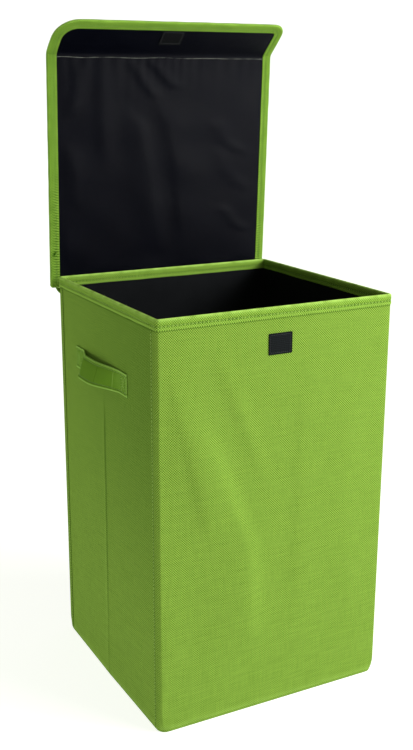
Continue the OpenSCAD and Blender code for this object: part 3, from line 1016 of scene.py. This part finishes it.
def handle(name, side, curve):
    """A strap handle in two halves, one on each half of the side."""
    lo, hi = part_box(f"{name}_handle_front")
    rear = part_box(f"{name}_handle_rear")[1].y
    front, mid_z, half_w = lo.y, (lo.z + hi.z) / 2, (hi.z - lo.z) / 2
    bulge = max(abs(lo.x), abs(hi.x)) - HALF_W
    tab, strap_t, meet = 22 * MM, 1.7 * MM, 0.03 * MM
    front_slope, rear_slope = 74 * MM, 30 * MM
    hem, box_near, box_far = half_w - 4.2 * MM, 4 * MM, 17 * MM

    def stand(a):
        """How far the inside of the strap stands off the wall: it rises almost straight from the front tab,
        and leaves the rear one steeply."""
        t = np.clip((a - front - tab) / front_slope, 0, 1)
        lift = 0.35 * smooth(t) + 0.65 * np.sin(t * math.pi / 2) * smooth(t / 0.12)
        return 0.93 * (bulge - strap_t) * lift * smooth((rear - tab - a) / rear_slope)

    def place(a, w, o):
        rise = stand(a)
        slope = (stand(a + 0.1 * MM) - stand(a - 0.1 * MM)) / (0.2 * MM)
        norm = np.sqrt(1 + slope ** 2)
        sag = 3.0 * MM * (rise / bulge) ** 2
        x = HALF_W + rise * (0.68 - 0.32 * w / half_w) + o / norm
        base = curve(a, mid_z + w) * smooth(1 - rise / (4 * MM))
        return settle(side * (x + base), a - o * slope / norm, mid_z + w - sag)

    def ends_of(a):
        return np.minimum(a - front, rear - a)

    def relief(a, w):
        arch = smooth(stand(a) / (6 * MM))
        edge = 0.55 * MM * bump(np.abs(w) - (half_w - 1.9 * MM), 1.1 * MM)
        groove = 0.35 * MM * bump(np.abs(w) - hem, 0.7 * MM)
        box = 0.45 * MM * (bump(ends_of(a) - box_near, 0.9 * MM) + bump(ends_of(a) - box_far, 0.9 * MM))
        crown = 0.5 * MM * (1 - (w / half_w) ** 2) * arch
        wave = 0.18 * MM * ripple(a, w, 0.022, 90 + side)
        return strap_t + edge - groove + crown + wave - box * (1 - arch) * (np.abs(w) < half_w - 4 * MM)

    def tone(a, w):
        # The strap's tone: painted highlights on its rolled edges, at its ends and along a bend, painted shade
        # in its stitched grooves and box stitching, and a little paler where it lies flat
        flat = 1 - smooth(stand(a) / (6 * MM))
        edge = 0.7 * bump(half_w - np.abs(w) - 0.9 * MM, 1.1 * MM)
        lines = 0.45 * bump(np.abs(w) - hem, 0.9 * MM)
        inside = flat * (np.abs(w) < half_w - 3.5 * MM)
        box = inside * (bump(ends_of(a) - box_near, 1 * MM) + bump(ends_of(a) - box_far, 1 * MM))
        # The bend is a painted highlight. As flat falls from 1 to 0, this line moves along, and it meets the
        # strap where it leaves the front tab
        bend = 0.35 * bump(a - (rear - flat - 0.6 * rear_slope), 8 * MM)
        return edge + 0.5 * bump(ends_of(a), 1.2 * MM) + bend - lines - 0.5 * box + 0.10 * flat

    ws = fine_ends(half_w, [0, 0.3, 0.9, 1.9, 2.9, 3.6, 4.2, 4.8, 6, 8, 10.5, 13], half_w, 1)
    across = np.linspace(-hem, hem, 20)
    for half, start, stop, end, inward in (("rear", meet, rear, rear, -1), ("front", front, -meet, front, 1)):
        strap = shell(f"{name}_handle_{half}_strap", place, ticks(start, stop, 1.3 * MM), ws, 0.0, relief,
                      STRAP, tone=tone)
        dress(strap, "webbing", f"{name}_handle_{half}")
        along = np.linspace(start + 2 * MM * (half == "front"), stop - 2 * MM * (half == "rear"), 90)
        diagonal = np.linspace(end + inward * box_near, end + inward * box_far, 20)
        lines = [(along, -hem), (along, hem), (end + inward * box_near, across),
                 (end + inward * box_far, across), (diagonal, across), (diagonal, -across)]
        rows = [line_on(place, a, w, relief) for a, w in lines]
        stitches = sewn(f"{name}_handle_{half}_stitches", rows, THREAD, pitch=3.6 * MM, length=2.7 * MM)
        dress(stitches, "webbing")
        for piece in (strap, stitches):
            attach(piece, f"{name}_{half}_side")
            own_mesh(piece)
        declare(strap, "folded", [f"{name}_cover_cloth"], stitches)


# ---- Lid ----

LINING_V = TAPE_T
BOARD_V = LINING_V + LINING_T
COVER_V = LID_T - TAPE_T - COVER_T
LID_INSET = 2 * MM
CREASE_TICKS = np.linspace(-6 * MM, 6 * MM, 17)
CREASE_WAY = 4 * MM * (LID_UP + FLAP_UP) / np.linalg.norm(LID_UP + FLAP_UP)
LID_MOVE = ("lid", "flap", tuple(CREASE - CREASE_WAY), tuple(CREASE + CREASE_WAY))


def flap_rows(half, inset):
    """Narrows the rows towards the rounded corners of the flap, inset from its edge."""
    def rows(x, s):
        narrow = np.ones(x.shape)
        for side, corner in ((-1, FLAP_CORNER_LEFT), (1, FLAP_CORNER)):
            radius = corner - inset
            over = np.clip(s - (FLAP_END - inset - radius), 0, radius)
            part = (half - radius + np.sqrt(np.maximum(radius ** 2 - over ** 2, 0))) / half
            narrow = np.where(x * side > 0, part, narrow)
        return x * narrow
    return rows


LINING_FOLDS = [
    # a line of (x, s), its widths to the left and the right, and its height
    ([(-0.100, -0.004), (-0.097, -0.080), (-0.092, -0.170)], 0.0135, 0.0162, 1.375 * MM),
    ([(-0.132, -0.004), (-0.136, -0.050), (-0.150, -0.090)], 0.00945, 0.01215, 1.125 * MM),
    ([(-0.052, -0.006), (-0.036, -0.034), (-0.010, -0.066)], 0.0081, 0.01215, 1.625 * MM),
    ([(-0.028, -0.004), (-0.006, -0.024), (0.020, -0.050)], 0.0081, 0.0135, 1.625 * MM),
    ([(-0.084, -0.052), (-0.040, -0.100), (-0.022, -0.180), (-0.006, -0.300)], 0.027, 0.01215, 2.0 * MM),
    ([(-0.024, -0.040), (0.010, -0.100), (0.026, -0.170), (0.040, -0.300)], 0.0135, 0.0405, 1.75 * MM),
    ([(0.086, -0.088), (0.104, -0.122), (0.146, -0.150)], 0.0162, 0.0135, 1.125 * MM),
    ([(0.090, -0.130), (0.108, -0.170), (0.150, -0.206)], 0.0162, 0.0135, 0.875 * MM),
    ([(0.100, -0.220), (0.124, -0.250), (0.152, -0.268)], 0.0135, 0.0108, 1.0 * MM),
    ([(-0.150, -0.120), (-0.140, -0.170), (-0.146, -0.220)], 0.0108, 0.0135, 1.0 * MM),
]


def lid_lining_relief(x, s):
    """The lining hangs loose from the crease: a fan of soft folds, and finer puckers under the seam."""
    from_tape, edge = LID_HALF - TAPE_H - np.abs(x), 12 * MM
    fade = smooth(np.minimum(from_tape, s - LID_FOOT - TAPE_H) / edge) * smooth(-(s + 2 * MM) / (3 * MM))
    rise = 0.5 * MM + 0.5 * MM * ripple(x, s, 0.07, 12) + soft_folds(x, s, LINING_FOLDS)
    pucker = 0.45 * MM * np.sin(2 * math.pi * (x / (17 * MM) + 0.6 * np.sin(x / (31 * MM))))
    rise = rise + pucker * np.exp(s / (22 * MM)) * smooth(-s / (6 * MM))
    flap = smooth((s - 6 * MM) / edge) * smooth((FLAP_END - TAPE_H - 2 * MM - s) / edge)
    flap = flap * smooth(from_tape / edge) * 0.5 * MM * (1 + ripple(x, s, 0.05, 14))
    flap = flap * smooth((np.abs(x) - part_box("closure_hook_patch")[1].x - 3 * MM) / (14 * MM))
    return fade * np.maximum(rise, 0) + flap


def lid_cover_relief(x, s):
    inside = np.minimum(LID_HALF - TAPE_H - np.abs(x), np.minimum(s - LID_FOOT, FLAP_END - s) - TAPE_H)
    fade = smooth(inside / (16 * MM)) * (1 - 0.8 * bump(s, 10 * MM))
    return fade * (0.4 * MM + 0.35 * MM * ripple(x, s, 0.09, 16))


def lid():
    """The lid and its flap: cover, lining and edge tape are unbroken over the crease, the boards are two."""
    half = LID_HALF - LID_INSET
    xs = ticks(-half, half, 4 * MM)
    below = ticks(LID_FOOT + LID_INSET, -6.6 * MM, 4 * MM)[:-2]
    above = ticks(7 * MM, FLAP_END - LID_INSET, 2.5 * MM)[2:]
    ss = np.concatenate([below, CREASE_TICKS, above])
    rows = flap_rows(half, LID_INSET)
    cover = shell("lid_cover_cloth", lid_point, xs, ss, COVER_V,
                  lambda x, s: COVER_V + COVER_T + lid_cover_relief(x, s), LINEN, row_u=rows)
    dress(cover, "cover", "lid_cover", "flap_cover")
    lining = shell("lid_lining_cloth", lid_point, xs, ss, lambda x, s: LINING_V - lid_lining_relief(x, s),
                   lambda x, s: BOARD_V - lid_lining_relief(x, s), NYLON, row_u=rows)
    dress(lining, "lining", "lid_lining", "flap_lining")

    x = np.linspace(-half + 12 * MM, half - 12 * MM, 240)
    wander = 0.4 * MM * np.sin(x / (9 * MM)) * smooth(-(x + 0.09) / 0.04)
    wander = wander + 0.4 * MM * ripple(x, 0 * x, 0.06, 3)
    line = line_on(lambda a, b, o: lid_point(a, b, LINING_V - o), x, wander - 4.4 * MM, 0.15 * MM)
    crease_row = sewn("lid_crease_stitches", [line], CREASE_THREAD, pitch=4 * MM, length=4.3 * MM,
                      radius=0.45 * MM)
    dress(crease_row, "lining")

    tape, stitches = lid_tape()
    boards = []
    for name, start, stop, row_u in (("lid", LID_FOOT + 3 * MM, -5 * MM, None),
                                     ("flap", 5 * MM, FLAP_END - 3 * MM, flap_rows(half - 1 * MM, 3 * MM))):
        board = shell(f"{name}_board_panel", lid_point, ticks(-half + 1 * MM, half - 1 * MM, BOARD_STEP),
                      ticks(start, stop, 6 * MM), BOARD_V, COVER_V, CARD, row_u=row_u)
        rides(name, dress(board, "board", f"{name}_board"))
        boards.append(board)
    bends(LID_MOVE, cover, lining, crease_row, tape, stitches)
    declare(cover, "stretched", boards)
    declare(lining, "stretched", boards, crease_row)
    declare(tape, "folded", [cover, lining], stitches)


# The corners of the lid and flap seen from the lining side, counterclockwise from the left foot: the side
# and the height that they round off, their radius, and the angle that each starts at
LID_CORNERS = [
    (-LID_HALF, LID_FOOT, FOOT_CORNER, math.pi),
    (LID_HALF, LID_FOOT, FOOT_CORNER, 1.5 * math.pi),
    (LID_HALF, FLAP_END, FLAP_CORNER, 0.0),
    (-LID_HALF, FLAP_END, FLAP_CORNER_LEFT, 0.5 * math.pi),
]


def corner_point(i, angle, d):
    """x and s at an angle of a corner, on the outline inset by d."""
    x, s, radius, _ = LID_CORNERS[i % 4]
    back, left = np.maximum(radius, d), np.maximum(radius - d, 0)
    return np.array([x - np.sign(x) * back + left * math.cos(angle),
                     s - np.sign(s) * back + left * math.sin(angle)])


def on_outline(part, d):
    """x and s at a part of the outline, inset by d."""
    _, kind, i, share = part
    first = LID_CORNERS[i][3]
    if kind == "arc":
        return corner_point(i, first + share * math.pi / 2, d)
    a, b = (corner_point(k, first + math.pi / 2, d) for k in (i, i + 1))
    return a + (b - a) * share


def outline_parts(step):
    """The parts of the closed outline, and its length. Each has its station, its kind, the number of its
    corner or of the corner before its line, and its share of the arc or line."""
    u, parts = 0.0, []
    for i, (x, s, radius, _) in enumerate(LID_CORNERS):
        arc, count = radius * math.pi / 2, 10 if radius > 10 * MM else 6
        parts += [(u + arc * k / count, "arc", i, k / count) for k in range(count)]
        u += arc
        after = LID_CORNERS[(i + 1) % 4]
        length = np.linalg.norm([after[0] - x, after[1] - s]) - radius - after[2]
        count = round(length / step)
        shares = np.arange(count) / count
        if i % 2 == 1:
            bend = (-LID_FOOT - FOOT_CORNER if i == 1 else FLAP_END - radius) / length
            shares = np.unique(np.round(np.concatenate([shares, bend + CREASE_TICKS / length]), 6))
        parts += [(u + length * share, "line", i, share) for share in shares]
        u += length
    return parts, u


def lid_tape():
    """The edge tape of the lid and flap: one closed loop, folded over the edge."""
    parts, around = outline_parts(STITCH / 3)
    us = np.array([part[0] for part in parts])
    beat = int(us[-1] / STITCH) / us[-1]
    fold = Fold(LID_T / 2 - TAPE_T)
    knot = around - 44 * MM
    left_crease = around + LID_FOOT + FOOT_CORNER

    def place(u, t, o):
        turn, rise = fold.at(t)
        d = TAPE_H - rise - (fold.half + o) * np.sin(turn)
        u, d, v = np.broadcast_arrays(u, d, LID_T / 2 - (fold.half + o) * np.cos(turn))
        x, s = np.empty(u.shape), np.empty(u.shape)
        for row in range(u.shape[0]):
            index = int(np.argmin(np.abs(us - np.ravel(u[row])[0])))
            x[row], s[row] = on_outline(parts[index], d[row])
        return lid_point(x, s, v)

    def on_lining(t):
        return smooth((fold.length / 2 - t) / (3 * MM))

    def relief(u, t):
        low = fold.low(t)
        dip, puff = tape_relief(low, u, beat)
        wave = 0.2 * MM * ripple(u, t, 0.03, 61) * smooth(low / (3 * MM))
        return TAPE_T - dip + (puff + wave) * (1 - 0.8 * on_lining(t)) - 0.12 * MM * on_lining(t)

    def tone(u, t):
        """Darker and mottled where it is pressed on the lining, with a knot hole, and painted shade in a crease
        at the left.
        """
        pressed = on_lining(t) * (0.13 + 0.11 * ripple(u, t, 0.016, 62, waves=12))
        hole = 1.2 * bump(u - knot, 2.6 * MM) * bump(t - 8.0 * MM, 2.0 * MM)
        bent = 0.35 * on_lining(t) * bump(u - left_crease, 1.1 * MM)
        return np.maximum(tape_tone(fold, u, t, beat, 0.35, 2.2 * MM) - pressed - hole - bent, -1)

    tape = shell("lid_edge_tape", place, us, fold.stations, 0.0, relief, LID_TAPE, wrap=True, tone=tone)
    dress(tape, "binding", "lid_binding", "flap_binding")
    return tape, tape_stitches("lid_edge_stitches", place, us, fold, relief)


# ---- Spine of the lid ----

def spine_line(wall_y, foot_z, root_z, foot):
    """The spine in section, as smoothed (y, z) points: down the wall, out round the lid's foot, and back."""
    from_seam = [(0.4, 0), (0.5, 3), (1.6, 4), (6, 3.2)]
    from_foot = [(-4, -4.5), (0.6, -2.6), (2, 0.2), (-0.5, 0.4), (-6, -0.5)]
    from_root = [(4, -3.5), (1.4, -0.8), (0.2, 2), (0.1, 5)]
    groups = ((HALF_D, foot_z, from_seam), (*foot, from_foot), (wall_y, root_z, from_root))
    line = np.array([(y + dy * MM, z + dz * MM) for y, z, offsets in groups for dy, dz in offsets])
    for _ in range(3):
        line = chaikin(line)
    return line


def lid_spine():
    """The soft hinge: a strip sewn under the rim of the back wall, out to the lid's foot and back again."""
    hinge_low, hinge_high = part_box("lid_hinge_tape")
    half, root_z = hinge_high.x, hinge_high.z
    foot = (CREASE + LID_UP * (LID_FOOT + 1.5 * MM) + LID_OUT * LID_T / 2)[1:]
    line = spine_line(HALF_D + TAPE_T, hinge_low.z, root_z, foot)
    lengths = lengths_along(line)
    angle = np.unwrap(np.arctan2(np.gradient(line[:, 1]), np.gradient(line[:, 0])))

    def place(x, t, o):
        y, z, a = (np.interp(t, lengths, column) for column in (*line.T, angle))
        return stack(x, y + o * np.sin(a), z - o * np.cos(a))

    def relief(x, t):
        piping = 0.5 * MM * bump(half - np.abs(x) - 1.0 * MM, 0.9 * MM)
        return 0.45 * MM + piping + 0.12 * MM * ripple(x, t, 0.03, 33)
    xs = fine_ends(half, [0, 0.3, 0.8, 1.4, 2.2, 3.4], 7 * MM, 60)
    # The spine's tone is a painted highlight along the piping at each edge
    spine = shell("lid_spine_cloth", place, xs, np.linspace(0, lengths[-1], 46), -0.35 * MM, relief, TAPE,
                  tone=lambda x, t: 0.6 * bump(half - np.abs(x) - 1.0 * MM, 1.6 * MM))
    dress(spine, "cover", "lid_spine", "lid_hinge_tape")
    row = line_on(place, np.linspace(-half + 3 * MM, half - 3 * MM, 200), 2.0 * MM, relief)
    stitches = dress(sewn("lid_spine_stitches", [row], THREAD), "binding")
    near_wall, near_lid = (0, HALF_D + 2 * MM, root_z), (0, foot[0] - 2.5 * MM, foot[1])
    bends(("back_wall", "lid", near_wall, near_lid), spine, stitches)
    declare(spine, "folded", ["back_cover_cloth", "lid_edge_tape"], stitches)


# ---- Closure ----

PATCH_STEP = 0.7 * MM


def patch_shell(name, place, us, vs, base, thick, material):
    """A square of touch-fastener tape with rounded corners, pressed down along its sewn border."""
    mid_u, mid_v = (us[0] + us[-1]) / 2, (vs[0] + vs[-1]) / 2
    half_u, half_v = (us[-1] - us[0]) / 2, (vs[-1] - vs[0]) / 2
    corner, inset = 1.2 * MM, 2.6 * MM

    def rounded(u, v, o):
        over = np.clip(np.abs(v - mid_v) - (half_v - corner), 0, corner)
        wide = (half_u - corner + np.sqrt(corner ** 2 - over ** 2)) / half_u
        return place(mid_u + (u - mid_u) * wide, v, o)

    def top(u, v):
        border = np.minimum(half_u - np.abs(u - mid_u), half_v - np.abs(v - mid_v))
        wave = 0.12 * MM * ripple(u, v, 0.0024, 44, waves=16) * smooth(border / (1 * MM))
        return base(u, v) + thick - 0.45 * MM * bump(border - inset, 0.7 * MM) + wave
    patch = shell(name, rounded, us, vs, shifted(base, 0.02 * MM), top, material)
    rows = border_lines(place, (mid_u, mid_v), half_u - inset, half_v - inset, top, 20)
    stitches = sewn(f"{name}_stitches", rows, DARK_THREAD, pitch=2.9 * MM, length=2.3 * MM, radius=0.3 * MM)
    return patch, stitches


def closure(front_run, front_relief):
    """The loop patch on the front wall, and the hook patch inside the flap."""
    lo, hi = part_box("closure_loop_patch")
    middle = np.abs(front_run.points[:, 1] + HALF_D) < 0.1 * MM
    on_front = front_run.points[middle, 0], front_run.lengths[middle]
    us = ticks(*(np.interp(edge, *on_front) for edge in (lo.x, hi.x)), PATCH_STEP)
    patch, stitches = patch_shell("closure_loop_pad", upright(front_run), us, ticks(lo.z, hi.z, PATCH_STEP),
                                  front_relief, 1.2 * MM, LOOP)
    rides("front_wall", dress(patch, "patch", "closure_loop_patch"), dress(stitches, "patch"))
    declare(patch, "laid", ["front_cover_cloth"], stitches)

    start, stop = reach("closure_hook_patch", CREASE, FLAP_UP)
    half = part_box("closure_hook_patch")[1].x

    def place(x, s, o):
        return lid_point(x, s, -o)

    hook, stitches = patch_shell("closure_hook_pad", place, ticks(-half, half, PATCH_STEP),
                                 ticks(start, stop, PATCH_STEP), lambda x, s: 0 * x - LINING_V, 0.9 * MM,
                                 HOOK)
    dress(hook, "patch", "closure_hook_patch")
    edge = 4 * MM
    hooks = hook_field("closure_hooks", place, half - edge, start + edge, stop - edge, 0.8 * MM - LINING_V)
    rides("flap", hook, dress(stitches, "patch"), dress(hooks, "patch"))
    declare(hook, "laid", ["lid_lining_cloth"], stitches)


def hook_field(name, place, half, start, stop, base):
    """Rows of tiny bent hooks, which lean to the two sides by turns."""
    verts, faces, uvs = [], [], []
    tall, thick, pitch, rings = 1.1 * MM, 0.16 * MM, 1.5 * MM, 4
    for i, x in enumerate(np.arange(-half, half + 1e-6, pitch)):
        lean = 0.5 * MM if i % 2 else -0.5 * MM
        for s in np.arange(start, stop + 1e-6, pitch):
            hook_faces = tube_faces(len(verts), rings, 4)
            faces += hook_faces
            uvs += [(x, s)] * sum(map(len, hook_faces))
            for t in np.arange(rings) / (rings - 1):
                width, o = thick * (1 - 0.4 * t), base - 0.3 * MM + tall * math.sin(t * 2.1)
                verts += [place(x + lean * t * t + dx * width, s + ds * width, o)
                          for dx, ds in ((-1, -1), (1, -1), (1, 1), (-1, 1))]
    return mesh_piece(name, np.array(verts), faces, np.array(uvs), HOOK)


# ---- Camera, light and floor ----

def aim(name, data, place, heading):
    """A camera or light at a place, looking along a heading."""
    thing = link(name, data)
    thing.location = place
    thing.rotation_mode = "QUATERNION"
    thing.rotation_quaternion = Vector(heading).to_track_quat("-Z", "Y")
    return thing


def camera():
    """A camera at the front left, a little above the rim."""
    data = bpy.data.cameras.new("camera")
    data.lens, data.sensor_width = 50.57, 36
    data.shift_x, data.shift_y = 0.0232, -0.0213
    azimuth, elevation = math.radians(-27.38), math.radians(14.71)
    level = math.cos(elevation)
    heading = (-math.sin(azimuth) * level, math.cos(azimuth) * level, -math.sin(elevation))
    bpy.context.scene.camera = aim("camera", data, (-0.6987, -1.2609, 0.8315), heading)


def soft_light(name, place, target, size, power):
    data = bpy.data.lights.new(name, "AREA")
    data.shape, data.size, data.energy = "DISK", size, power
    aim(name, data, place, Vector(target) - Vector(place))


def studio():
    """White air, a broad key and a soft box at the front right, and a low fill at the left."""
    key = bpy.data.lights.new("key", "SUN")
    key.energy, key.angle = 1.9, math.radians(32)
    aim("key", key, (0, 0, 0), (-0.62, 0.60, -0.52))
    soft_light("soft_box", (0.90, -0.78, 0.90), (0.15, -0.1, 0.45), 0.6, 13.8)
    soft_light("low_fill", (-0.95, 0.15, 0.08), (-0.2, 0.05, 0.1), 0.6, 1.9)
    world = bpy.data.worlds.new("white_air")
    world.use_nodes = True
    nodes, links = world.node_tree.nodes, world.node_tree.links
    seen, lit = nodes["Background"], nodes.new("ShaderNodeBackground")
    seen.inputs[0].default_value, seen.inputs[1].default_value = (1, 1, 1, 1), 1.1
    lit.inputs[0].default_value, lit.inputs[1].default_value = (0.96, 1, 0.80, 1), 0.31
    path, mix = nodes.new("ShaderNodeLightPath"), nodes.new("ShaderNodeMixShader")
    links.new(path.outputs["Is Camera Ray"], mix.inputs[0])
    links.new(lit.outputs[0], mix.inputs[1])
    links.new(seen.outputs[0], mix.inputs[2])
    links.new(mix.outputs[0], nodes["World Output"].inputs[0])
    bpy.context.scene.world = world
    bpy.context.scene.view_settings.view_transform = "Standard"


def white_floor():
    mesh = bpy.data.meshes.new("floor")
    half = 6.0
    corners = [(-half, -half, 0), (half, -half, 0), (half, half, 0), (-half, half, 0)]
    mesh.from_pydata(corners, [], [(0, 1, 2, 3)])
    floor = link("floor", mesh)
    paint = bpy.data.materials.new("white_floor")
    paint.use_nodes = True
    inputs = paint.node_tree.nodes["Principled BSDF"].inputs
    inputs["Base Color"].default_value = (0.46, 0.46, 0.46, 1)
    inputs["Roughness"].default_value = 0.9
    inputs["Specular IOR Level"].default_value = 0.1
    inputs["Emission Color"].default_value = (0.995, 1, 0.97, 1)
    inputs["Emission Strength"].default_value = 0.83
    mesh.materials.append(paint)


# ---- The whole hamper ----

camera()
studio()
white_floor()
front_run, front_relief = end_wall("front", -1, FRONT_FOLDS, 1, 0.5 * MM)
end_wall("back", 1, BACK_FOLDS, 2, 0.2 * MM)
corner_seam("front_right", -1, MOVES["front_right"])
corner_seam("rear_right", 1, MOVES["back_right"])
for wall, wall_side in (("left", -1), ("right", 1)):
    wall_curve = side_wall(wall, wall_side, 7 + wall_side)
    handle(wall, wall_side, wall_curve)
rim_tapes()
bottom()
base_board()
lid()
lid_spine()
closure(front_run, front_relief)
